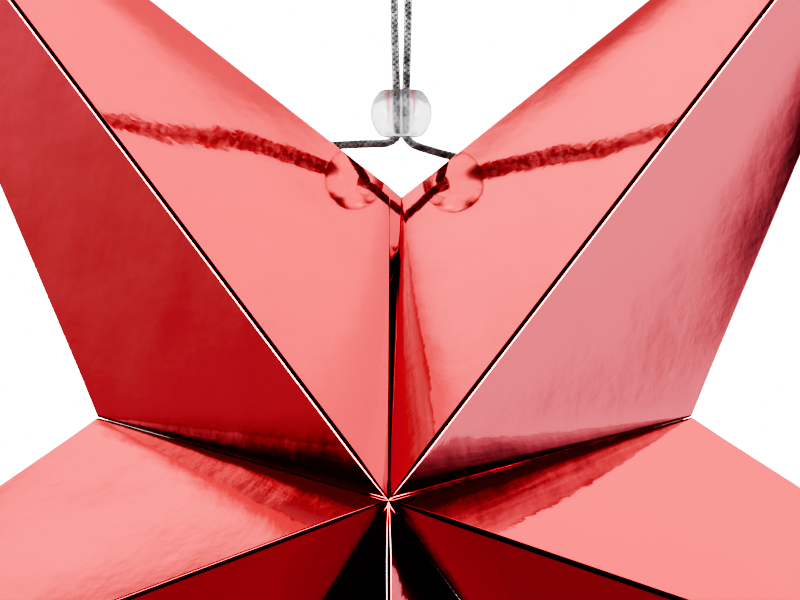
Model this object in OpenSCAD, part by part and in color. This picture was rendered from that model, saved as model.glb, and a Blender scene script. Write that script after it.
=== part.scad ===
// Hanging advent star of five hollow arms, each folded from one piece of metallic foil card.
// The arms are glued flap to flap into an open chain, and a cord with a sliding stopper bead
// pulls the two ends of the chain together at the seam.
// The star lies in the XZ plane with its front towards -Y. The origin is the point where the
// loop of the cord bears on its hook. Lengths are in millimetres.

/* [Star] */
// Distance from the centre of the star to the tip of an arm
tip_r = 157.5; // [130:0.5:200]
// Distance from the centre of the star to a valley of the outline
valley_r = 50.4; // [42:0.2:60]
// Height of the middle of the star above its outline, at the front and at the back
half_depth = 51; // [38:0.5:60]
// Angle left open at the seam between the first and the last arm
seam_angle = 2.5; // [1:0.1:5]
// How far the first arm has slipped outwards at the seam
seam_slip = 1.9; // [0:0.1:3]

/* [Card] */
// Thickness of the foil card
card_t = 0.4; // [0.25:0.05:0.6]
// Width of the glue flaps along the valleys
flap_w = 8; // [5:0.5:11]
// Width of the glue tab inside the ridge at the back of each arm
tab_w = 7; // [4:0.5:10]
// Distance from the tip, along the ridge, at which the glue tab starts
tab_start = 26; // [20:1:60]
// Distance from the middle of the star, along the ridge, at which the glue tab ends
tab_end = 16; // [12:1:40]

/* [Cord holes] */
// Gap between the cord and the edge of its hole
hole_gap = 0.4; // [0.2:0.05:0.7]
// Distance of the first arm's hole from its seam corner, along the silhouette fold
first_hole_run = 12.5; // [11:0.1:18]
// Distance of the last arm's hole from its seam corner, along the silhouette fold
last_hole_run = 12.1; // [11:0.1:18]
// Distance of both holes behind the silhouette fold
hole_behind = 1.6; // [1.4:0.1:2.4]

/* [Cord and stopper] */
// Diameter of the braided cord
cord_d = 1.4; // [1:0.1:1.5]
// Diameter of the knots that stop the cord inside the two end arms
knot_d = 4; // [3:0.1:5]
// Diameter of the stopper bead
bead_d = 10; // [8:0.1:13]
// Height of the bead between its flat ends
bead_h = 7.6; // [6:0.1:8.5]
// Diameter of the bore that both strands of the cord run through
bead_bore = 4; // [3.8:0.1:5]
// Width of the flare at each mouth of the bore
bore_flare = 0.4; // [0.1:0.1:0.8]
// Depth of the bead's middle below the hook
bead_drop = 75.8; // [74:0.1:76]

/* [Hanging] */
// Depth of the seam's valley below the hook
valley_drop = 89.6; // [88:0.1:92]
// How far the star's centre hangs to the left of the hook
star_left = 1.1; // [0:0.1:3]

/* [Hidden] */

foil_red = [0.74, 0.03, 0.07];
cord_silver = [0.62, 0.62, 0.64];
bead_clear = [0.88, 0.88, 0.9, 0.8];

arm_count = 5;
first_arm = 0;
last_arm = arm_count - 1;
arm_span = (360 - seam_angle) / arm_count;
// Angles by which the hand-folded tips and valleys are off their even places
tip_lean = [0, 1.4, 0, 0, 0];
valley_lean = [0, 0, 1.2, 0, 0, 0];

front_mid = [0, -half_depth, 0];
back_mid = [0, half_depth, 0];
star_mid = [-star_left, 0, -valley_drop - valley_r];

// Reach of the shapes that the arms are cut from, past what is left of them
overrun = 1.25;
slice_reach = 2 * tip_r;
// Overlap of a cut past the face that it opens
cut_over = 0.1;
axis_over = 2;
hole_reach = 6;

function unit(v) = v / norm(v);
function outward(angle) = [cos(angle), 0, sin(angle)];
function is_first(arm) = arm == first_arm ? 1 : 0;
function valley_angle(valley) = 90 + seam_angle / 2 + valley * arm_span + valley_lean[valley];
function tip_angle(arm) = 90 + seam_angle / 2 + (arm + 0.5) * arm_span + tip_lean[arm];
function valley_reach(valley) = valley_r + seam_slip * is_first(valley);
function valley_point(valley) = valley_reach(valley) * outward(valley_angle(valley));
function tip_point(arm) = (tip_r + seam_slip * is_first(arm)) * outward(tip_angle(arm));

// Unit normals of an arm's two front faces, on the side of its first and of its second valley
function first_normal(arm) =
    unit(cross(valley_point(arm) - front_mid, tip_point(arm) - front_mid));
function second_normal(arm) =
    unit(cross(tip_point(arm) - front_mid, valley_point(arm + 1) - front_mid));

// Shift along the outline's plane that sets all four faces of an arm one card thickness inwards
function inset_shift(arm) =
    let (a = first_normal(arm), b = second_normal(arm), d = a[0] * b[2] - a[2] * b[0])
    card_t / d * [a[2] - b[2], 0, b[0] - a[0]];

// Solid four-sided point with an arm's faces, run on past the middle of the star
module arm_point(arm) {
    tip = tip_point(arm);
    corners = [front_mid, valley_point(arm + 1), back_mid, valley_point(arm)];
    polyhedron(
        points = concat([tip], [for (c = corners) tip + overrun * (c - tip)]),
        faces = [[0, 1, 2], [0, 2, 3], [0, 3, 4], [0, 4, 1], [1, 4, 3], [1, 3, 2]]
    );
}

// Wedge of the star between an arm's two valleys, set in by the given thickness
module arm_slice(arm, inset) {
    from = valley_angle(arm);
    to = valley_angle(arm + 1);
    middle = (from + to) / 2;
    apex = inset / sin((to - from) / 2) * [cos(middle), sin(middle)];
    rotate([90, 0, 0])
        linear_extrude(height = 2 * half_depth + 2 * axis_over, center = true)
            polygon([
                apex,
                apex + slice_reach * [cos(from), sin(from)],
                apex + slice_reach * [cos(to), sin(to)]
            ]);
}

// Opening that leaves two glue flaps along a valley, one at the front and one at the back
module flap_window(valley) {
    reach = valley_reach(valley);
    open = 1 - flap_w * sqrt(1 / pow(reach, 2) + 1 / pow(half_depth, 2));
    inner = half_depth * (open + axis_over / reach);
    rotate([0, -valley_angle(valley), 0])
        linear_extrude(height = 2 * (card_t + cut_over), center = true)
            polygon([[open * reach, 0], [-axis_over, inner], [-axis_over, -inner]]);
}

// Strip of the last panel that is glued behind the first one, inside the ridge at the back
module ridge_tab(arm) {
    tip = tip_point(arm);
    along = unit(back_mid - tip);
    normal = [first_normal(arm)[0], -first_normal(arm)[1], first_normal(arm)[2]];
    across = cross(along, normal);
    length = norm(back_mid - tip) - tab_end;
    multmatrix([
        [along[0], across[0], normal[0], tip[0]],
        [along[1], across[1], normal[1], tip[1]],
        [along[2], across[2], normal[2], tip[2]],
        [0, 0, 0, 1]
    ])
        translate([0, 0, -2 * card_t])
            linear_extrude(height = card_t)
                polygon([
                    [tab_start, card_t],
                    [tab_start + tab_w, tab_w],
                    [length - tab_w, tab_w],
                    [length, card_t]
                ]);
}

// Middle of a cord hole, in the back face just behind the silhouette fold at the seam
function hole_point(arm, valley, run) =
    let (
        fold = unit(tip_point(arm) - valley_point(valley)),
        front = arm == first_arm ? first_normal(arm) : second_normal(arm),
        normal = [front[0], -front[1], front[2]],
        side = cross(fold, normal),
        inwards = side[1] > 0 ? side : -side
    )
    valley_point(valley) + run * fold + hole_behind / inwards[1] * inwards;

module cord_hole(place) {
    translate(place)
        rotate([0, 90, 0])
            cylinder(h = hole_reach, d = cord_d + 2 * hole_gap, center = true, $fn = 48);
}

// Hollow arm: four faces, a glue tab inside the back ridge, and glue flaps at both valleys
module folded_arm(arm) {
    difference() {
        intersection() {
            arm_point(arm);
            arm_slice(arm, 0);
        }
        difference() {
            intersection() {
                translate(inset_shift(arm))
                    arm_point(arm);
                arm_slice(arm, card_t);
            }
            ridge_tab(arm);
        }
        flap_window(arm);
        flap_window(arm + 1);
    }
}

module arm_upper_left() {
    color(foil_red)
        translate(star_mid)
            difference() {
                folded_arm(first_arm);
                cord_hole(hole_point(first_arm, first_arm, first_hole_run));
            }
}

module arm_lower_left() {
    color(foil_red)
        translate(star_mid)
            folded_arm(1);
}

module arm_bottom() {
    color(foil_red)
        translate(star_mid)
            folded_arm(2);
}

module arm_lower_right() {
    color(foil_red)
        translate(star_mid)
            folded_arm(3);
}

module arm_upper_right() {
    color(foil_red)
        translate(star_mid)
            difference() {
                folded_arm(last_arm);
                cord_hole(hole_point(last_arm, last_arm + 1, last_hole_run));
            }
}

// Middle line of the cord, from the knot in the first arm over the hook to the one in the last
cord_route = [
    [-16.4, 1.6, -81.0], [-12.8, 1.6, -81.0], [-8.6, 1.0, -80.8], [-4.8, 0.3, -80.7],
    [-3.2, 0.1, -80.7], [-2.3, 0, -80.6], [-1.6, 0, -80.3], [-1.0, 0, -79.8],
    [-0.8, 0, -79.1], [-0.8, 0, -72.0], [-1.1, 0, -60.0], [-1.1, 0, -48.0],
    [-1.1, 0, -36.0], [-1.1, 0, -24.0], [-1.1, 0, -13.0], [-1.4, 0, -9.8],
    [-2.1, 0, -7.0], [-2.8, 0, -4.6], [-3.0, 0, -2.4], [-2.2, 0, -0.3],
    [0, 0, 0.7], [2.2, 0, -0.3], [3.0, 0, -2.4], [2.8, 0, -4.6],
    [2.1, 0, -7.0], [1.4, 0, -9.8], [1.1, 0, -13.0], [1.1, 0, -24.0],
    [1.1, 0, -36.0], [1.1, 0, -48.0], [1.1, 0, -60.0], [0.8, 0, -72.0],
    [0.8, 0, -79.1], [1.0, 0, -79.9], [1.5, 0, -80.5], [2.3, 0, -81.0],
    [4.4, 0.4, -81.7], [7.4, 1.1, -82.5], [10.2, 1.6, -83.0], [13.8, 1.6, -83.0]
];
cord_end = len(cord_route) - 1;
cord_sides = 8;

function cord_heading(i) =
    unit(cord_route[min(i + 1, cord_end)] - cord_route[max(i - 1, 0)]);
function cord_ring(i) =
    let (
        heading = cord_heading(i),
        back = unit([0, 1, 0] - heading[1] * heading),
        side = cross(back, heading)
    )
    [for (s = [0 : cord_sides - 1])
        cord_route[i] + cord_d / 2 * (cos(360 * s / cord_sides) * back
            + sin(360 * s / cord_sides) * side)];

module cord() {
    color(cord_silver)
        polyhedron(
            points = [for (i = [0 : cord_end]) each cord_ring(i)],
            faces = concat(
                [[for (s = [cord_sides - 1 : -1 : 0]) s]],
                [for (i = [0 : cord_end - 1]) for (s = [0 : cord_sides - 1])
                    let (a = i * cord_sides, n = (s + 1) % cord_sides)
                    each [
                        [a + s, a + n, a + cord_sides + n],
                        [a + s, a + cord_sides + n, a + cord_sides + s]
                    ]],
                [[for (s = [0 : cord_sides - 1]) cord_end * cord_sides + s]]
            )
        );
}

// Pulled-tight overhand knot, flat where the cord enters it
module knot(turn) {
    sink = sqrt(pow(knot_d, 2) - pow(cord_d, 2)) / 2 - cut_over;
    color(cord_silver)
        rotate([0, turn, 0])
            intersection() {
                translate([0, 0, sink])
                    sphere(d = knot_d, $fn = 48);
                cylinder(h = knot_d, d = knot_d, $fn = 48);
            }
}

module knot_left() {
    translate(cord_route[0])
        knot(-90);
}

module knot_right() {
    translate(cord_route[cord_end])
        knot(90);
}

module stopper_bead() {
    flare = 1 + 2 * bore_flare / bead_bore;
    color(bead_clear)
        translate([0, 0, -bead_drop])
            difference() {
                intersection() {
                    sphere(d = bead_d, $fn = 96);
                    cylinder(h = bead_h, d = bead_d, center = true, $fn = 96);
                }
                cylinder(h = bead_h + 2 * cut_over, d = bead_bore, center = true, $fn = 96);
                for (end = [0, 1])
                    mirror([0, 0, end])
                        translate([0, 0, bead_h / 2 - bore_flare])
                            cylinder(
                                h = bore_flare,
                                d1 = bead_bore,
                                d2 = flare * bead_bore,
                                $fn = 96
                            );
            }
}

arm_upper_left();
arm_lower_left();
arm_bottom();
arm_lower_right();
arm_upper_right();
cord();
knot_left();
knot_right();
stopper_bead();
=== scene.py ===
import math

import bmesh
import bpy
import numpy as np
from mathutils import Matrix, Vector


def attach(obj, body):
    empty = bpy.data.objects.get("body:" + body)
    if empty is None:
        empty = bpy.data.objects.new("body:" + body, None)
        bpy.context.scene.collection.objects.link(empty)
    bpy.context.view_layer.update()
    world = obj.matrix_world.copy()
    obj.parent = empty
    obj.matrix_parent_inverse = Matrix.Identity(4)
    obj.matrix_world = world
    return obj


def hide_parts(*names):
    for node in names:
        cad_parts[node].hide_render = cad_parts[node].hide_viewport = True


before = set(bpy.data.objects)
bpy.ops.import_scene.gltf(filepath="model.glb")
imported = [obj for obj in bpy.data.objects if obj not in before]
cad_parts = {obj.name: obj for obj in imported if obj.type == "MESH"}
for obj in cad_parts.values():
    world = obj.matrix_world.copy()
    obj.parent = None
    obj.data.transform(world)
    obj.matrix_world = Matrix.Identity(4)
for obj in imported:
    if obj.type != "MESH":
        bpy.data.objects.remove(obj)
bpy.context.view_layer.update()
scene = bpy.context.scene

# The camera stands 1.5 m in front of the hanging star, a little below it and to its right,
# and takes in 130 mm of its width round the cord stop and the upper valley.
VIEW_CENTRE = Vector((-0.0002, 0, -0.1061))
VIEW_WIDTH = 0.1296
CAMERA_DISTANCE = 1.5
CAMERA_RIGHT = math.radians(1.05)
CAMERA_BELOW = math.radians(2.9)
SENSOR_WIDTH = 36

camera = bpy.data.objects.new("camera", bpy.data.cameras.new("camera"))
scene.collection.objects.link(camera)
towards_camera = Vector((
    math.sin(CAMERA_RIGHT) * math.cos(CAMERA_BELOW),
    -math.cos(CAMERA_RIGHT) * math.cos(CAMERA_BELOW),
    -math.sin(CAMERA_BELOW),
))
camera.location = VIEW_CENTRE + CAMERA_DISTANCE * towards_camera
camera.rotation_euler = towards_camera.to_track_quat("Z", "Y").to_euler()
camera.data.sensor_width = SENSOR_WIDTH
camera.data.lens = SENSOR_WIDTH * CAMERA_DISTANCE / VIEW_WIDTH
camera.data.clip_start = 0.01
camera.data.clip_end = 50
scene.camera = camera
scene.view_settings.view_transform = "AgX"
scene.view_settings.look = "AgX - Very High Contrast"


# The hanging cord is a round braid of eight silver metallic yarns. It is knotted inside one end arm,
# comes out behind the fold, runs up through the stopper, over the hook and back down to the other end arm.
CORD_D = 0.0014
CORD_SPAN_POINTS = 6
CORD_ROUTE_MM = [
    (-16.4, 1.6, -81.0), (-12.8, 1.6, -81.0), (-8.6, 1.0, -80.8), (-4.8, 0.3, -80.7),
    (-3.2, 0.1, -80.7), (-2.3, 0, -80.6), (-1.6, 0, -80.3), (-1.0, 0, -79.8),
    (-0.8, 0, -79.1), (-0.8, 0, -72.0), (-1.1, 0, -60.0), (-1.1, 0, -48.0),
    (-1.1, 0, -36.0), (-1.1, 0, -24.0), (-1.1, 0, -13.0), (-1.4, 0, -9.8),
    (-2.1, 0, -7.0), (-2.8, 0, -4.6), (-3.0, 0, -2.4), (-2.2, 0, -0.3),
    (0, 0, 0.7), (2.2, 0, -0.3), (3.0, 0, -2.4), (2.8, 0, -4.6),
    (2.1, 0, -7.0), (1.4, 0, -9.8), (1.1, 0, -13.0), (1.1, 0, -24.0),
    (1.1, 0, -36.0), (1.1, 0, -48.0), (1.1, 0, -60.0), (0.8, 0, -72.0),
    (0.8, 0, -79.1), (1.0, 0, -79.9), (1.5, 0, -80.5), (2.3, 0, -81.0),
    (4.4, 0.4, -81.7), (7.4, 1.1, -82.5), (10.2, 1.6, -83.0), (13.8, 1.6, -83.0),
]
YARNS = 8
YARN_D = 0.00042
YARN_SIDES = 6
BRAID_PITCH = 0.0034
BRAID_WAVE = 0.00005
YARN_STEP = 0.00025


def new_group(name, kind, inputs, outputs):
    group = bpy.data.node_groups.new(name, kind)
    for side, sockets in (("INPUT", inputs), ("OUTPUT", outputs)):
        for socket_name, socket_type, default in sockets:
            socket = group.interface.new_socket(socket_name, in_out=side, socket_type=socket_type)
            if default is not None:
                socket.default_value = default
    ways_in = group.nodes.new("NodeGroupInput")
    ways_out = group.nodes.new("NodeGroupOutput")
    return group, ways_in, ways_out


def put(tree, kind, inputs=(), **settings):
    """Adds a node, sets its fields, and fills its inputs by name or number with values or other sockets."""
    node = tree.nodes.new(kind)
    for field, value in settings.items():
        setattr(node, field, value)
    for key, value in dict(inputs).items():
        if isinstance(value, bpy.types.NodeSocket):
            tree.links.new(value, node.inputs[key])
        else:
            node.inputs[key].default_value = value
    return node


def maths(tree, operation, *values):
    return put(tree, "ShaderNodeMath", dict(enumerate(values)), operation=operation).outputs[0]


def vector_maths(tree, operation, *values):
    node = put(tree, "ShaderNodeVectorMath", operation=operation)
    for socket, value in zip(node.inputs, values):
        if isinstance(value, bpy.types.NodeSocket):
            tree.links.new(value, socket)
        else:
            socket.default_value = value
    return node


def braid_tree():
    """Geometry nodes that wind pairs of yarns both ways round a cord's middle line, over and under."""
    tree, given, made = new_group(
        "braid",
        "GeometryNodeTree",
        [
            ("Middle line", "NodeSocketGeometry", None),
            ("Yarns", "NodeSocketInt", YARNS),
            ("Yarn radius", "NodeSocketFloat", YARN_D / 2),
            ("Helix radius", "NodeSocketFloat", (CORD_D - YARN_D) / 2),
            ("Wave", "NodeSocketFloat", BRAID_WAVE),
            ("Pitch", "NodeSocketFloat", BRAID_PITCH),
            ("Step", "NodeSocketFloat", YARN_STEP),
            ("Yarn", "NodeSocketMaterial", None),
        ],
        [("Braid", "NodeSocketGeometry", None)],
    )
    given = given.outputs
    fine = put(tree, "GeometryNodeResampleCurve", {"Curve": given["Middle line"], "Length": given["Step"]},
               mode="LENGTH")
    straight = put(tree, "GeometryNodeSetCurveNormal", {"Curve": fine.outputs[0]}, mode="MINIMUM_TWIST")
    kept = put(tree, "GeometryNodeCaptureAttribute", domain="POINT")
    for name, kind in (("Normal", "VECTOR"), ("Tangent", "VECTOR"), ("Along", "FLOAT")):
        kept.capture_items.new(kind, name)
    tree.links.new(straight.outputs[0], kept.inputs["Geometry"])
    tree.links.new(put(tree, "GeometryNodeInputNormal").outputs[0], kept.inputs["Normal"])
    tree.links.new(put(tree, "GeometryNodeInputTangent").outputs[0], kept.inputs["Tangent"])
    tree.links.new(put(tree, "GeometryNodeSplineParameter").outputs["Length"], kept.inputs["Along"])
    many = put(tree, "GeometryNodeDuplicateElements",
               {"Geometry": kept.outputs["Geometry"], "Amount": given["Yarns"]}, domain="SPLINE")
    number = many.outputs["Duplicate Index"]
    way = maths(tree, "SUBTRACT", maths(tree, "MULTIPLY", maths(tree, "MODULO", number, 2.0), 2.0), 1.0)
    start = maths(tree, "MULTIPLY", maths(tree, "DIVIDE", number, given["Yarns"]), 2 * math.pi)
    turns = maths(tree, "DIVIDE", kept.outputs["Along"], given["Pitch"])
    turned = maths(tree, "MULTIPLY", maths(tree, "MULTIPLY", turns, 2 * math.pi), way)
    angle = maths(tree, "ADD", turned, start)
    crossings = maths(tree, "MULTIPLY", maths(tree, "MULTIPLY", turns, given["Yarns"]), math.pi)
    over = maths(tree, "MULTIPLY", maths(tree, "SINE", crossings), way)
    reach = maths(tree, "ADD", given["Helix radius"], maths(tree, "MULTIPLY", over, given["Wave"]))
    normal = kept.outputs["Normal"]
    across = vector_maths(tree, "CROSS_PRODUCT", kept.outputs["Tangent"], normal).outputs[0]
    first = put(tree, "ShaderNodeVectorMath", {0: normal, "Scale": maths(tree, "COSINE", angle)},
                operation="SCALE").outputs[0]
    second = put(tree, "ShaderNodeVectorMath", {0: across, "Scale": maths(tree, "SINE", angle)},
                 operation="SCALE").outputs[0]
    spoke = vector_maths(tree, "ADD", first, second).outputs[0]
    moved = put(tree, "ShaderNodeVectorMath", {0: spoke, "Scale": reach}, operation="SCALE").outputs[0]
    wound = put(tree, "GeometryNodeSetPosition", {"Geometry": many.outputs["Geometry"], "Offset": moved})
    round_yarn = put(tree, "GeometryNodeCurvePrimitiveCircle",
                     {"Resolution": YARN_SIDES, "Radius": given["Yarn radius"]})
    solid = put(tree, "GeometryNodeCurveToMesh",
                {"Curve": wound.outputs[0], "Profile Curve": round_yarn.outputs[0], "Fill Caps": True})
    smooth = put(tree, "GeometryNodeSetShadeSmooth", {"Geometry": solid.outputs[0]})
    real = put(tree, "GeometryNodeRealizeInstances", {"Geometry": smooth.outputs[0]})
    painted = put(tree, "GeometryNodeSetMaterial", {"Geometry": real.outputs[0], "Material": given["Yarn"]})
    tree.links.new(painted.outputs[0], made.inputs["Braid"])
    return tree


def set_inputs(modifier, **values):
    for item in modifier.node_group.interface.items_tree:
        if item.item_type == "SOCKET" and item.in_out == "INPUT" and item.name in values:
            modifier[item.identifier] = values[item.name]


def settled(obj, name):
    """The object with its modifiers applied, as a new plain mesh object of that name."""
    shape = obj.evaluated_get(bpy.context.evaluated_depsgraph_get())
    mesh = bpy.data.meshes.new_from_object(shape)
    result = bpy.data.objects.new(name, mesh)
    scene.collection.objects.link(result)
    bpy.data.objects.remove(obj)
    return result


def silver_yarn():
    material = bpy.data.materials.new("silver_yarn")
    material.use_nodes = True
    tree = material.node_tree
    shader = tree.nodes["Principled BSDF"]
    where = put(tree, "ShaderNodeTexCoord").outputs["Object"]
    fibres = put(tree, "ShaderNodeTexNoise", {"Vector": where, "Scale": 9000.0, "Detail": 2.0})
    worn = put(tree, "ShaderNodeTexNoise", {"Vector": where, "Scale": 700.0, "Detail": 2.0})
    tone = put(tree, "ShaderNodeValToRGB", {"Fac": worn.outputs["Fac"]})
    tone.color_ramp.elements[0].position = 0.35
    tone.color_ramp.elements[0].color = (0.2, 0.2, 0.205, 1)
    tone.color_ramp.elements[1].position = 0.68
    tone.color_ramp.elements[1].color = (0.7, 0.7, 0.71, 1)
    tree.links.new(tone.outputs[0], shader.inputs["Base Color"])
    shader.inputs["Metallic"].default_value = 0.6
    shader.inputs["Roughness"].default_value = 0.42
    bump = put(tree, "ShaderNodeBump",
               {"Height": fibres.outputs["Fac"], "Distance": 0.00002, "Strength": 0.6})
    tree.links.new(bump.outputs[0], shader.inputs["Normal"])
    return material


def catmull(points, per_span):
    """Points on a smooth curve through the given ones."""
    ends = np.vstack([2 * points[0] - points[1], points, 2 * points[-1] - points[-2]])
    line = []
    for a, b, c, d in zip(ends, ends[1:], ends[2:], ends[3:]):
        for t in np.arange(per_span) / per_span:
            line.append(0.5 * (2 * b + (c - a) * t + (2 * a - 5 * b + 4 * c - d) * t**2
                               + (3 * b - a - 3 * c + d) * t**3))
    return np.array(line + [points[-1]])


def braided(line, name):
    """Braided cord along a line of points, as a plain mesh object."""
    curve = bpy.data.curves.new(name + "_middle", "CURVE")
    curve.dimensions = "3D"
    spline = curve.splines.new("POLY")
    spline.points.add(len(line) - 1)
    spline.points.foreach_set("co", np.hstack([line, np.ones((len(line), 1))]).ravel())
    source = bpy.data.objects.new(name + "_source", curve)
    scene.collection.objects.link(source)
    braiding = source.modifiers.new("braid", "NODES")
    braiding.node_group = braid
    set_inputs(braiding, Yarn=yarn)
    return settled(source, name)


braid = braid_tree()
yarn = silver_yarn()
cord_route = np.array(CORD_ROUTE_MM) / 1000
middle_line = catmull(cord_route, CORD_SPAN_POINTS)
cord = braided(middle_line, "braided_cord")

# The two ends of the cord are tied in tight overhand knots inside the end arms, where the holes in the
# card are too small to let them out. Each knot is a closed loop 0.8 mm past its end of the cord.
KNOT_AHEAD = 0.0021
KNOT_DEPTH = 0.00055
KNOT_SPREAD = 0.00075
KNOT_LOBE = 0.8
KNOT_POINTS = 72


def knot_line(start, heading):
    """Middle line of a closed overhand knot just past the end of the cord and in line with it."""
    heading = heading / np.linalg.norm(heading)
    side = np.array([0.0, 1.0, 0.0])
    up = np.cross(heading, side)
    line = []
    for t in np.linspace(0, 2 * math.pi, KNOT_POINTS):
        ahead = KNOT_AHEAD - KNOT_DEPTH * math.cos(3 * t)
        sideways = KNOT_SPREAD * (math.sin(t) + KNOT_LOBE * math.sin(2 * t))
        upwards = KNOT_SPREAD * (math.cos(t) - KNOT_LOBE * math.cos(2 * t))
        line.append(start + ahead * heading + sideways * side + upwards * up)
    return np.array(line)


for node, end, before in (("knot_left", cord_route[0], cord_route[1]),
                          ("knot_right", cord_route[-1], cord_route[-2])):
    knot = braided(knot_line(end, end - before), node + "_tied")
    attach(knot, "star")
    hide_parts(node)

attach(cord, "star")
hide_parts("cord")


# Each arm is one sheet of card with red mirror foil on its face, scored and folded over its front
# ridge and its two sides, and closed with a glue tab inside the ridge at the back. Flaps along the
# valleys are turned in and glued to the next arm, apart from the two at the open seam.
CARD_T = 0.0004
TIP_R = 0.1575
VALLEY_R = 0.0504
HALF_DEPTH = 0.051
# At the open seam the end arms stand a little apart, in degrees, and the first has slipped outwards.
# The star is folded by hand, so single tips and valleys lean, in degrees, from their even places.
SEAM_ANGLE = 2.5
SEAM_SLIP = 0.0019
TIP_LEAN = (0, 1.4, 0, 0, 0)
VALLEY_LEAN = (-0.5, 0, 1.2, 0, 0, 0.3)
STAR_CENTRE = np.array([-0.0011, 0, -0.140])
ARM_NODES = ("arm_upper_left", "arm_lower_left", "arm_bottom", "arm_lower_right", "arm_upper_right")
FOLD_R = 0.0006
VALLEY_FOLD_R = 0.0006
FLAP_W = 0.008
FLAP_GAP = 0.00004
FLAP_ROWS = (0.25, 0.6, 1)
TAB_W = 0.007
TAB_LEAST_W = 0.0006
TAB_START = 0.026
TAB_END = 0.016
TAB_ROWS = (0.25, 0.5, 0.75, 1)
CUT_EDGE_INSET = 0.0002
# At the open seam the first arm's flap isn't glued. It has a sharp crease, opens towards its outer end
# and is cut there in line with the silhouette, while the last arm's flap gives way to it.
SEAM_FOLD_R = 0.0002
SEAM_LEANS = {(0, 1): math.radians(58), (4, 2): math.radians(-50)}
SEAM_SLACK = {(0, 1): math.radians(15)}
SEAM_SPREAD = 0.36
SEAM_END_TRIM = 0.5
# Folds are thin at the tips and towards the middle of the star, where the five ridges close up
TIP_TAPER = 0.06
TIP_CARD_TAPER = 0.035
CENTRE_TAPER = 0.35
CENTRE_REACH = 0.006
CENTRE_CLOSED = 0.85
# The faces aren't quite flat: they are bowed, dip beside the silhouette folds and sink into the valleys
BOWS = {(0, 1): -0.0002, (0, 2): 0.00005, (4, 1): -0.00028, (4, 2): -0.0001, (1, 1): 0.00008,
        (3, 2): 0.0002, (2, 2): 0.0003}
HOLLOWS = {(0, 1): 0.0002, (4, 2): 0.00018}
HOLLOW = 0.0001
VALLEY_REACH = 0.014
VALLEY_SLOPE = 0.16
# The two end arms are punched for the cord behind their silhouette folds
HOLE_D = 0.0022
HOLE_REACH = 0.006
CORD_HOLES = {0: (-0.01283, 0.0016, -0.0810), 4: (0.01018, 0.0016, -0.0830)}
# Steps of the mesh: places along an arm from its tip, columns across a face and round a fold
TIP_ROWS = (0, 0.006, 0.014, 0.025, 0.04)
BODY_ROWS = np.linspace(0.06, 0.988, 46)
CENTRE_ROWS = (0.9985, 1)
FACE_COLUMNS = 18
FOLD_STEPS = 8
VALLEY_STEPS = 6
MARGIN = 0.00015


def unit(v):
    return v / np.linalg.norm(v)


def outward(angle):
    return np.array([math.cos(math.radians(angle)), 0, math.sin(math.radians(angle))])


def valley_angle(valley):
    return 90 + SEAM_ANGLE / 2 + valley * (360 - SEAM_ANGLE) / 5 + VALLEY_LEAN[valley]


def valley_point(valley):
    return (VALLEY_R + (SEAM_SLIP if valley == 0 else 0)) * outward(valley_angle(valley))


def tip_point(arm):
    angle = 90 + SEAM_ANGLE / 2 + (arm + 0.5) * (360 - SEAM_ANGLE) / 5 + TIP_LEAN[arm]
    return (TIP_R + (SEAM_SLIP if arm == 0 else 0)) * outward(angle)


def towards(v, target):
    """The vector, turned round if it points away from the target direction."""
    return v if v @ target > 0 else -v


def arc_between(start, end, share):
    turn = math.acos(float(np.clip(start @ end, -1, 1)))
    return (math.sin((1 - share) * turn) * start + math.sin(share * turn) * end) / math.sin(turn)


class Sheet:
    """Points of a card's outer face with their normals and thickness, and its quads."""

    def __init__(self):
        self.points = []
        self.normals = []
        self.walls = []
        self.quads = []

    def add(self, point, normal, wall):
        self.points.append(point)
        self.normals.append(normal)
        self.walls.append(wall)
        return len(self.points) - 1

    def join(self, row, next_row):
        for a, b, c, d in zip(row, row[1:], next_row[1:], next_row):
            loop = []
            for corner in (a, b, c, d):
                if corner not in loop:
                    loop.append(corner)
            if len(loop) > 2:
                self.quads.append(loop)


def face_bend(bow, hollow, ridge_share, s):
    """How far a face stands out of its flat plane, bowed and with a dip beside its silhouette fold."""
    bulge = bow * math.sin(math.pi * ridge_share) * math.sin(math.pi * s**1.5)
    deepest = (1 / 4) * (3 / 4) ** 3
    dip = ridge_share * (1 - ridge_share) ** 3 / deepest
    return bulge - hollow * dip * min(1.0, 6 * s) * (1 - s**6)


def closed_up(point):
    """The point moved most of the way to the axis of the star, where the front ridges meet."""
    return point * [1 - CENTRE_CLOSED, 1, 1 - CENTRE_CLOSED]


def valley_sink(ridge_share, from_valley):
    """How deep a face has sunk into the star beside its valley, more towards the middle of the star."""
    reach = VALLEY_REACH * ridge_share
    near = max(0.0, 1 - from_valley / reach) if reach > 0 else 0.0
    return VALLEY_SLOPE * reach / 2 * near**2


def column_places(width):
    """Distances across a face of its columns, close together beside both folds."""
    margin = min(MARGIN, 0.1 * width)
    return np.concatenate([[0], np.linspace(margin, width - margin, FACE_COLUMNS), [width]])


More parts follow.
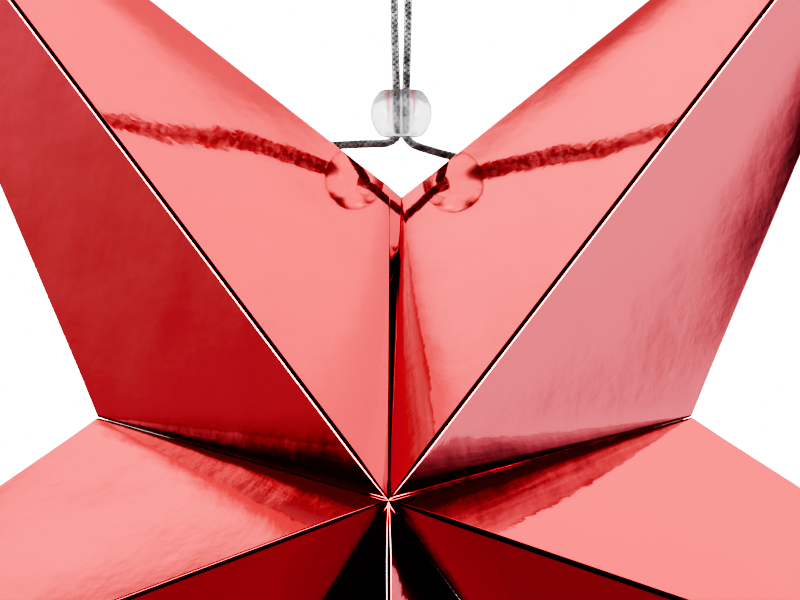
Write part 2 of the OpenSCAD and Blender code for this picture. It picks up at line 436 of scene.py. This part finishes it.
def hang_flaps(sheet, arm, valleys, normals, last_row, face_columns):
    """Turns each face over its valley and hangs the glue flap there, mitred at both of its ends."""
    for i, (run, down, facing, fold_r) in enumerate(valleys):
        lean = SEAM_LEANS.get((arm, i), 0)
        slack = SEAM_SLACK.get((arm, i), 0)
        edge = last_row[slice(*face_columns[i])]
        flap_row = edge
        for k in range(1, VALLEY_STEPS + 1):
            normal = arc_between(normals[i], facing, k / VALLEY_STEPS)
            shift = fold_r * (normal - normals[i])
            next_row = [sheet.add(sheet.points[v] + shift, normal, CARD_T) for v in edge]
            sheet.join(flap_row, next_row)
            flap_row = next_row
        fold_end = [sheet.points[v] for v in flap_row]
        length = float((fold_end[-1] - fold_end[0]) @ run)
        mid_first = i in (0, 2)
        trims = [1, SEAM_END_TRIM if (arm, i) == (0, 1) else 1]
        if not mid_first:
            trims.reverse()
        for depth in (MARGIN, *(share * FLAP_W for share in FLAP_ROWS)):
            next_row = []
            for point in fold_end:
                along = float((point - fold_end[0]) @ run)
                from_outer_end = 1 - along / length if mid_first else along / length
                spread = min(1.0, max(0.0, 2 - 2 * from_outer_end / SEAM_SPREAD))
                opened = slack + (lean - slack) * spread
                hanging = down * math.cos(opened) + facing * math.sin(opened)
                leaning = facing * math.cos(opened) - down * math.sin(opened)
                mitred = trims[0] * depth + along * (1 - sum(trims) * depth / length)
                place = point + (mitred - along) * run + depth * hanging
                next_row.append(sheet.add(place, leaning, CARD_T))
            sheet.join(flap_row, next_row)
            flap_row = next_row


def arm_sheet(arm):
    """The whole card of an arm: four faces between their folds, the tab at the back, and the flaps."""
    tip = tip_point(arm)
    back = np.array([0, HALF_DEPTH, 0])
    corners = [back, valley_point(arm), -back, valley_point(arm + 1), back]
    valley_ends = [[a, b] for a, b in zip(corners, corners[1:])]
    middle = (corners[1] + corners[3] + tip) / 3
    normals = [towards(unit(np.cross(a - tip, b - tip)), a + b - 2 * middle)
               for a, b in zip(corners, corners[1:])]
    lines = [unit(corner - tip) for corner in corners]
    tab_fold = tip + np.linalg.solve(np.array([normals[3], normals[0], lines[4]]), [0, -CARD_T, 0])
    starts = [tip, tip, tip, tip, tab_fold]
    turned_to = normals[1:] + [normals[0]]
    turns = [math.acos(float(a @ b)) for a, b in zip(normals, turned_to)]
    offsets = [CUT_EDGE_INSET] + [FOLD_R * math.tan(turn / 2) for turn in turns]

    valleys = []
    ends = []
    sides = []
    for i, (valley_from, valley_to) in enumerate(valley_ends):
        out = unit((valley_from + valley_to) * [1, 0, 1])
        flap_normal = np.array([out[2], 0, -out[0]]) if i < 2 else np.array([-out[2], 0, out[0]])
        run = unit(valley_to - valley_from)
        down = towards(unit(np.cross(run, flap_normal)), -valley_from - valley_to)
        inwards = towards(unit(np.cross(normals[i], run)), tip - valley_from)
        fold_r = SEAM_FOLD_R if (arm, i) == (0, 1) else VALLEY_FOLD_R
        valley_w = fold_r * math.tan(math.acos(float(normals[i] @ flap_normal)) / 2)
        valleys.append((run, down, flap_normal, fold_r))
        from_first = towards(unit(np.cross(normals[i], lines[i])), corners[i + 1] - tip)
        from_second = towards(unit(np.cross(normals[i], lines[i + 1])), corners[i] - tip)
        sides.append((from_first, from_second))
        lengths = []
        for start, line, side, offset in ((starts[i], lines[i], from_first, offsets[i]),
                                          (starts[i + 1], lines[i + 1], from_second, offsets[i + 1])):
            edge = valley_from + (valley_w + FLAP_GAP) * inwards
            lengths.append(((edge - start - CENTRE_TAPER * offset * side) @ inwards) / (line @ inwards))
        ends.append(lengths)
    tab_side = towards(unit(np.cross(normals[0], lines[4])), corners[1] - tip)
    ridge_length = float(np.linalg.norm(back - tip))
    heights = [float(np.linalg.norm(np.cross(unit(b - a), tip - a))) for a, b in zip(corners, corners[1:])]

    sheet = Sheet()
    face_columns = {}
    last_row = None
    for s in np.concatenate([TIP_ROWS, BODY_ROWS, CENTRE_ROWS]):
        wall = CARD_T * min(1.0, s / TIP_CARD_TAPER)
        row = []
        for i in range(4):
            from_valley = (1 - s) * heights[i]
            tip_taper = min(1.0, s / TIP_TAPER)
            taper = tip_taper * (CENTRE_TAPER + (1 - CENTRE_TAPER) * min(1.0, from_valley / CENTRE_REACH))
            opened = starts[i + 1] if i < 3 else tip + tip_taper * (tab_fold - tip)
            near = starts[i] + s * ends[i][0] * lines[i] + taper * offsets[i] * sides[i][0]
            far = opened + s * ends[i][1] * lines[i + 1] + taper * offsets[i + 1] * sides[i][1]
            width = float(np.linalg.norm(far - near))
            first_column = len(row)
            into_star = np.array([0, 1 if i in (1, 2) else -1, 0])
            for place in column_places(max(width, 1e-6)):
                share = place / max(width, 1e-6)
                ridge_share = float(share if i in (1, 3) else 1 - share)
                bent = face_bend(BOWS.get((arm, i), 0), HOLLOWS.get((arm, i), HOLLOW), ridge_share, s)
                point = near + share * (far - near) + bent * normals[i]
                point = point + valley_sink(ridge_share, from_valley) * into_star
                if s == 1 and ridge_share == 1:
                    point = closed_up(point)
                row.append(sheet.add(point, normals[i], wall) if s > 0 else 0)
            face_columns[i] = (first_column, len(row))
            radius = FOLD_R * taper
            axis = -unit(normals[i] + turned_to[i]) * radius / math.cos(turns[i] / 2)
            reach_a = s * ends[i][1]
            reach_b = s * ends[i + 1][0] if i < 3 else reach_a
            fold_sink = valley_sink(1, from_valley) * into_star if i in (1, 3) else 0
            for k in range(1, FOLD_STEPS + (i == 3)):
                share = k / FOLD_STEPS
                normal = arc_between(normals[i], turned_to[i], share)
                reach = reach_a + (reach_b - reach_a) * share
                point = opened + reach * lines[i + 1] + axis + radius * normal + fold_sink
                if s == 1 and i == 1:
                    point = closed_up(point)
                row.append(sheet.add(point, normal, wall) if s > 0 else 0)
            if i == 3:
                room = min(TAB_W, reach_a - TAB_START, ridge_length - TAB_END - reach_a)
                wide = taper * max(TAB_LEAST_W, room)
                for share in TAB_ROWS:
                    point = opened + reach_a * lines[4] + (taper * offsets[4] + share * wide) * tab_side
                    point = point + fold_sink
                    row.append(sheet.add(point, normals[0], wall) if s > 0 else 0)
        if s == 0:
            sheet.add(tip, unit(tip), 0.0)
            row = [0] * len(row)
        if last_row:
            sheet.join(last_row, row)
        last_row = row

    hang_flaps(sheet, arm, valleys, normals, last_row, face_columns)
    return sheet


def card_object(arm):
    """The arm's sheet given its thickness, with the foil outside and bare card inside and at the cuts."""
    sheet = arm_sheet(arm)
    outer = np.array(sheet.points)
    normals = np.array(sheet.normals)
    inner = outer - np.array(sheet.walls)[:, None] * normals
    count = len(outer)
    quads = []
    for quad in sheet.quads:
        a, b, c = (outer[v] for v in quad[:3])
        facing = np.cross(b - a, c - a) @ normals[quad].mean(axis=0)
        quads.append(quad if facing > 0 else quad[::-1])
    used = {}
    for quad in quads:
        for a, b in zip(quad, quad[1:] + quad[:1]):
            used[(a, b)] = True
    rims = [(a, b) for a, b in used if (b, a) not in used]
    faces = list(quads)
    faces += [[v + count for v in quad[::-1]] for quad in quads]
    for a, b in rims:
        faces.append([b, a, a + count, b + count])
    mesh = bpy.data.meshes.new(ARM_NODES[arm] + "_card")
    mesh.from_pydata((np.vstack([outer, inner]) + STAR_CENTRE).tolist(), [], faces)
    mesh.materials.append(foil)
    mesh.materials.append(bare_card)
    mesh.polygons.foreach_set("material_index", [0] * len(quads) + [1] * (len(faces) - len(quads)))
    mesh.shade_smooth()
    mesh.set_sharp_from_angle(angle=math.radians(40))
    obj = bpy.data.objects.new(ARM_NODES[arm] + "_folded", mesh)
    scene.collection.objects.link(obj)
    return obj


def red_foil():
    material = bpy.data.materials.new("red_foil")
    material.use_nodes = True
    tree = material.node_tree
    shader = tree.nodes["Principled BSDF"]
    where = put(tree, "ShaderNodeTexCoord").outputs["Object"]
    waves = put(tree, "ShaderNodeTexNoise", {"Vector": where, "Scale": 60.0, "Detail": 1.0})
    ripple = put(tree, "ShaderNodeTexNoise", {"Vector": where, "Scale": 210.0, "Detail": 1.0})
    peel = put(tree, "ShaderNodeTexNoise", {"Vector": where, "Scale": 620.0, "Detail": 2.0})
    shader.inputs["Base Color"].default_value = (0.97, 0.002, 0.006, 1)
    shader.inputs["Metallic"].default_value = 1.0
    shader.inputs["Roughness"].default_value = 0.06
    shader.inputs["Coat Weight"].default_value = 1.0
    shader.inputs["Coat IOR"].default_value = 1.8
    shader.inputs["Coat Roughness"].default_value = 0.03
    wavy = put(tree, "ShaderNodeBump", {"Height": waves.outputs["Fac"], "Distance": 0.00008, "Strength": 1.0})
    rippled = put(tree, "ShaderNodeBump", {"Height": ripple.outputs["Fac"], "Distance": 0.000014,
                                           "Strength": 1.0, "Normal": wavy.outputs[0]})
    bump = put(tree, "ShaderNodeBump", {"Height": peel.outputs["Fac"], "Distance": 0.000006,
                                        "Strength": 1.0, "Normal": rippled.outputs[0]})
    tree.links.new(bump.outputs[0], shader.inputs["Normal"])
    tree.links.new(bump.outputs[0], shader.inputs["Coat Normal"])
    return material


def plain_card():
    material = bpy.data.materials.new("bare_card")
    material.use_nodes = True
    tree = material.node_tree
    shader = tree.nodes["Principled BSDF"]
    where = put(tree, "ShaderNodeTexCoord").outputs["Object"]
    fibres = put(tree, "ShaderNodeTexNoise", {"Vector": where, "Scale": 2600.0, "Detail": 3.0})
    tone = put(tree, "ShaderNodeValToRGB", {"Fac": fibres.outputs["Fac"]})
    tone.color_ramp.elements[0].position = 0.3
    tone.color_ramp.elements[0].color = (0.62, 0.6, 0.57, 1)
    tone.color_ramp.elements[1].position = 0.7
    tone.color_ramp.elements[1].color = (0.8, 0.79, 0.77, 1)
    tree.links.new(tone.outputs[0], shader.inputs["Base Color"])
    shader.inputs["Roughness"].default_value = 0.85
    bump = put(tree, "ShaderNodeBump",
               {"Height": fibres.outputs["Fac"], "Distance": 0.00002, "Strength": 0.5})
    tree.links.new(bump.outputs[0], shader.inputs["Normal"])
    return material


foil = red_foil()
bare_card = plain_card()
for arm, node in enumerate(ARM_NODES):
    piece = card_object(arm)
    if arm in CORD_HOLES:
        turned = Matrix.Translation(CORD_HOLES[arm]) @ Matrix.Rotation(math.radians(90), 4, "Y")
        drill_mesh = bpy.data.meshes.new("cord_hole")
        drill_shape = bmesh.new()
        bmesh.ops.create_cone(drill_shape, cap_ends=True, segments=32, radius1=HOLE_D / 2, radius2=HOLE_D / 2,
                              depth=HOLE_REACH, matrix=turned)
        drill_shape.to_mesh(drill_mesh)
        drill_mesh.materials.append(bare_card)
        drill = bpy.data.objects.new("cord_hole", drill_mesh)
        scene.collection.objects.link(drill)
        cut = piece.modifiers.new("cord_hole", "BOOLEAN")
        cut.object = drill
        cut.solver = "EXACT"
        piece = settled(piece, node + "_card")
        bpy.data.objects.remove(drill)
    else:
        piece.name = node + "_card"
    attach(piece, "star")
    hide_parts(node)


# The stopper is a moulded bead of clear plastic with a frosted skin. Both strands of the cord run
# through its bore, which is flared at each end, and it is pushed down to hold the seam together.
BEAD_D = 0.010
BEAD_H = 0.0076
BEAD_BORE = 0.004
BORE_FLARE = 0.0004
BEAD_MIDDLE = (0, 0, -0.0758)
BEAD_EDGE_R = 0.0003
BEAD_EDGE_DROP = 0.6
BEAD_SIDES = 96
BEAD_RINGS = 28
BORE_RINGS = 8


def bead_outline():
    """Half section of the bead from the top of its bore round the outside and back, as radius and height."""
    radius = BEAD_D / 2
    top = BEAD_H / 2
    flat_r = math.sqrt(radius**2 - top**2)
    outline = [(BEAD_BORE / 2 + BORE_FLARE, top)]
    outline.append((flat_r - BEAD_EDGE_R, top))
    limit = math.asin((top - BEAD_EDGE_DROP * BEAD_EDGE_R) / radius)
    for angle in np.linspace(limit, -limit, BEAD_RINGS):
        outline.append((radius * math.cos(angle), radius * math.sin(angle)))
    outline.append((flat_r - BEAD_EDGE_R, -top))
    outline.append((BEAD_BORE / 2 + BORE_FLARE, -top))
    for height in np.linspace(-top + BORE_FLARE, top - BORE_FLARE, BORE_RINGS):
        outline.append((BEAD_BORE / 2, height))
    return outline


def turned_mesh(outline, sides, name):
    points = []
    faces = []
    rings = len(outline)
    for s in range(sides):
        angle = 2 * math.pi * s / sides
        points += [(r * math.cos(angle), r * math.sin(angle), h) for r, h in outline]
    for s in range(sides):
        this, after = s * rings, (s + 1) % sides * rings
        for r in range(rings):
            n = (r + 1) % rings
            faces.append([this + r, this + n, after + n, after + r])
    mesh = bpy.data.meshes.new(name)
    mesh.from_pydata((np.array(points) + np.array(BEAD_MIDDLE)).tolist(), [], faces)
    shape = bmesh.new()
    shape.from_mesh(mesh)
    bmesh.ops.recalc_face_normals(shape, faces=shape.faces)
    shape.to_mesh(mesh)
    mesh.shade_smooth()
    mesh.set_sharp_from_angle(angle=math.radians(50))
    return mesh


def frosted_plastic():
    material = bpy.data.materials.new("frosted_clear_plastic")
    material.use_nodes = True
    tree = material.node_tree
    shader = tree.nodes["Principled BSDF"]
    where = put(tree, "ShaderNodeTexCoord").outputs["Object"]
    haze = put(tree, "ShaderNodeTexNoise", {"Vector": where, "Scale": 1500.0, "Detail": 2.0})
    shader.inputs["Base Color"].default_value = (0.93, 0.93, 0.94, 1)
    shader.inputs["Transmission Weight"].default_value = 1.0
    shader.inputs["IOR"].default_value = 1.49
    rough = put(tree, "ShaderNodeMapRange", {"Value": haze.outputs["Fac"], "To Min": 0.12, "To Max": 0.3})
    tree.links.new(rough.outputs[0], shader.inputs["Roughness"])
    return material


bead_mesh = turned_mesh(bead_outline(), BEAD_SIDES, "stopper_bead_moulded")
bead_mesh.materials.append(frosted_plastic())
bead = bpy.data.objects.new("stopper_bead_moulded", bead_mesh)
scene.collection.objects.link(bead)
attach(bead, "stopper")
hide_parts("stopper_bead")


# The star hangs in a white studio over a pale floor. The foil mirrors a soft lit wall behind it, which
# fades towards the camera's side, and three small soft lamps in front draw the lines along the folds.
FLOOR_DROP = 0.55
FLOOR_SIZE = 3.0

floor_mesh = bpy.data.meshes.new("studio_floor")
half = FLOOR_SIZE / 2
floor_mesh.from_pydata([(-half, -half, -FLOOR_DROP), (half, -half, -FLOOR_DROP),
                        (half, half, -FLOOR_DROP), (-half, half, -FLOOR_DROP)], [], [(0, 1, 2, 3)])
floor = bpy.data.objects.new("studio_floor", floor_mesh)
scene.collection.objects.link(floor)
floor_finish = bpy.data.materials.new("pale_floor")
floor_finish.use_nodes = True
floor_finish.node_tree.nodes["Principled BSDF"].inputs["Base Color"].default_value = (0.9, 0.9, 0.9, 1)
floor_finish.node_tree.nodes["Principled BSDF"].inputs["Roughness"].default_value = 0.7
floor_mesh.materials.append(floor_finish)
floor.visible_glossy = False


# The lit wall behind the star, in degrees round from its right, going up: its colour, the angles from
# the camera's side at which it fades in and is full, and its share of light before that
WALL = (
    (0, (0.9, 1.5, 1.7), 100, 104.5, 0.5), (25, (0.9, 0.9, 0.95), 97, 105, 0.3),
    (42, (1.0, 1.0, 1.0), 98.2, 102.8, 0.06), (51, (1.05, 1.0, 1.1), 98.7, 102.8, 0.06),
    (53.5, (1.15, 1.12, 1.2), 98.8, 103, 0.3), (55.5, (1.42, 1.4, 1.5), 100.5, 104, 0.65),
    (58, (1.45, 1.4, 1.5), 101, 104.5, 0.6), (61, (1.5, 1.5, 1.6), 101, 104.5, 0.6),
    (66, (0.6, 0.6, 0.6), 98, 106, 0.5), (80, (0.4, 0.4, 0.4), 98, 107, 0.5),
    (105, (0.4, 0.4, 0.4), 98, 107, 0.5), (118, (0.63, 0.15, 0.2), 98, 106, 0.95),
    (123.8, (0.85, 0.5, 0.55), 103.5, 107.5, 0.6), (125.2, (1.6, 1.6, 1.65), 103.8, 107.6, 0.34),
    (126.5, (1.5, 1.5, 1.6), 104.2, 108, 0.34), (127.8, (1.3, 1.3, 1.4), 103.5, 108.6, 0.34),
    (129.4, (0.95, 0.7, 0.75), 101, 103.5, 0.12), (132, (1.2, 1.2, 1.2), 101, 103.5, 0.1),
    (140, (1.2, 1.2, 1.2), 99, 103, 0.1), (170, (0.8, 0.8, 0.8), 98, 104, 0.3),
    (194, (0.66, 0.75, 0.9), 103.6, 105.8, 0), (196.5, (0.62, 0.65, 0.8), 103.6, 105.8, 0),
    (198, (0.49, 0.5, 0.52), 103.6, 105.8, 0), (200, (0.43, 0.34, 0.36), 103.6, 105.8, 0),
    (202, (0.43, 0.32, 0.34), 103.6, 105.8, 0), (203.5, (0.03, 0.02, 0.02), 103.6, 105.8, 0),
    (245, (0.25, 0.06, 0.06), 90, 95, 1), (264, (0.3, 0.08, 0.08), 90, 95, 1),
    (276, (0.37, 0.1, 0.1), 90, 95, 1), (331, (0.3, 0.1, 0.1), 99.6, 105.6, 0),
    (337, (0.9, 1.45, 1.75), 99.6, 105.6, 0), (347, (0.94, 1.5, 1.8), 99.6, 105.6, 0),
)
# A ramp holds colours up to 1, so the wall's are divided by its top brightness and brought back after
WALL_TOP = 2.0
# The angles from the camera's side between which the whole wall fades in
WALL_FOOT = (93.0, 96.5)
# The lamps in front of the star: direction, cosines where each fades out and is full, and brightness
LAMPS = (
    ((-0.947, -0.309, -0.083), 0.927, 0.961, 16.0),
    ((0.947, -0.309, -0.083), 0.927, 0.961, 16.0),
    ((-0.73, -0.407, 0.55), 0.975, 0.988, 4.0),
)
# The light from all round, the white that the camera sees past the star, and what shows through the bead
AMBIENT = 0.01
BACKDROP = 9.0
THROUGH_PLASTIC = 1.7

world = bpy.data.worlds.new("studio")
scene.world = world
world.use_nodes = True
sky = world.node_tree
sky.nodes.clear()
direction = put(sky, "ShaderNodeTexCoord").outputs["Generated"]
parts = put(sky, "ShaderNodeSeparateXYZ", {0: direction}).outputs
turn_round = maths(sky, "DIVIDE", maths(sky, "ARCTAN2", parts["Z"], parts["X"]), 2 * math.pi)
turn_round = maths(sky, "FRACT", turn_round)
wall = put(sky, "ShaderNodeValToRGB", {"Fac": turn_round})
wall.color_ramp.interpolation = "EASE"
edges = put(sky, "ShaderNodeValToRGB", {"Fac": turn_round})
for ramp, colours in ((wall.color_ramp, [[c / WALL_TOP for c in row[1]] for row in WALL]),
                      (edges.color_ramp, [[row[2] / 180, row[3] / 180, row[4]] for row in WALL])):
    while len(ramp.elements) < len(WALL):
        ramp.elements.new(1.0)
    for element, row in zip(ramp.elements, WALL):
        element.position = row[0] / 360
    for element, colour in zip(ramp.elements, colours):
        element.color = (*colour, 1)
edge_parts = put(sky, "ShaderNodeSeparateColor", {0: edges.outputs[0]}).outputs
away = maths(sky, "DIVIDE", maths(sky, "ARCCOSINE", maths(sky, "MULTIPLY", parts["Y"], -1.0)), math.pi)
lit = put(sky, "ShaderNodeMapRange",
          {"Value": away, "From Min": edge_parts[0], "From Max": edge_parts[1], "To Min": edge_parts[2]},
          interpolation_type="SMOOTHSTEP").outputs[0]
foot_start, foot_end = (angle / 180 for angle in WALL_FOOT)
foot = put(sky, "ShaderNodeMapRange",
           {"Value": away, "From Min": foot_start, "From Max": foot_end, "To Max": WALL_TOP},
           interpolation_type="SMOOTHSTEP").outputs[0]
lit = maths(sky, "MULTIPLY", lit, foot)
tent = put(sky, "ShaderNodeVectorMath", {0: wall.outputs[0], "Scale": lit}, operation="SCALE").outputs[0]
for aim, fade, full, power in LAMPS:
    aligned = put(sky, "ShaderNodeVectorMath", {0: direction, 1: tuple(unit(np.array(aim)))},
                  operation="DOT_PRODUCT").outputs["Value"]
    glow = put(sky, "ShaderNodeMapRange",
               {"Value": aligned, "From Min": fade, "From Max": full, "To Max": power},
               interpolation_type="SMOOTHSTEP").outputs[0]
    glow = put(sky, "ShaderNodeCombineXYZ", {0: glow, 1: glow, 2: glow}).outputs[0]
    tent = put(sky, "ShaderNodeVectorMath", {0: tent, 1: glow}, operation="ADD").outputs[0]
tent = put(sky, "ShaderNodeVectorMath", {0: tent, 1: (AMBIENT,) * 3}, operation="ADD").outputs[0]
path = put(sky, "ShaderNodeLightPath").outputs
behind_plastic = put(sky, "ShaderNodeMix", {0: path["Is Transmission Ray"], 6: tent,
                                            7: (THROUGH_PLASTIC,) * 3 + (1,)}, data_type="RGBA").outputs[2]
seen = put(sky, "ShaderNodeMix", {0: path["Is Camera Ray"], 6: behind_plastic,
                                  7: (BACKDROP,) * 3 + (1,)}, data_type="RGBA").outputs[2]
light = put(sky, "ShaderNodeBackground", {"Color": seen, "Strength": 1.0})
put(sky, "ShaderNodeOutputWorld", {"Surface": light.outputs[0]})
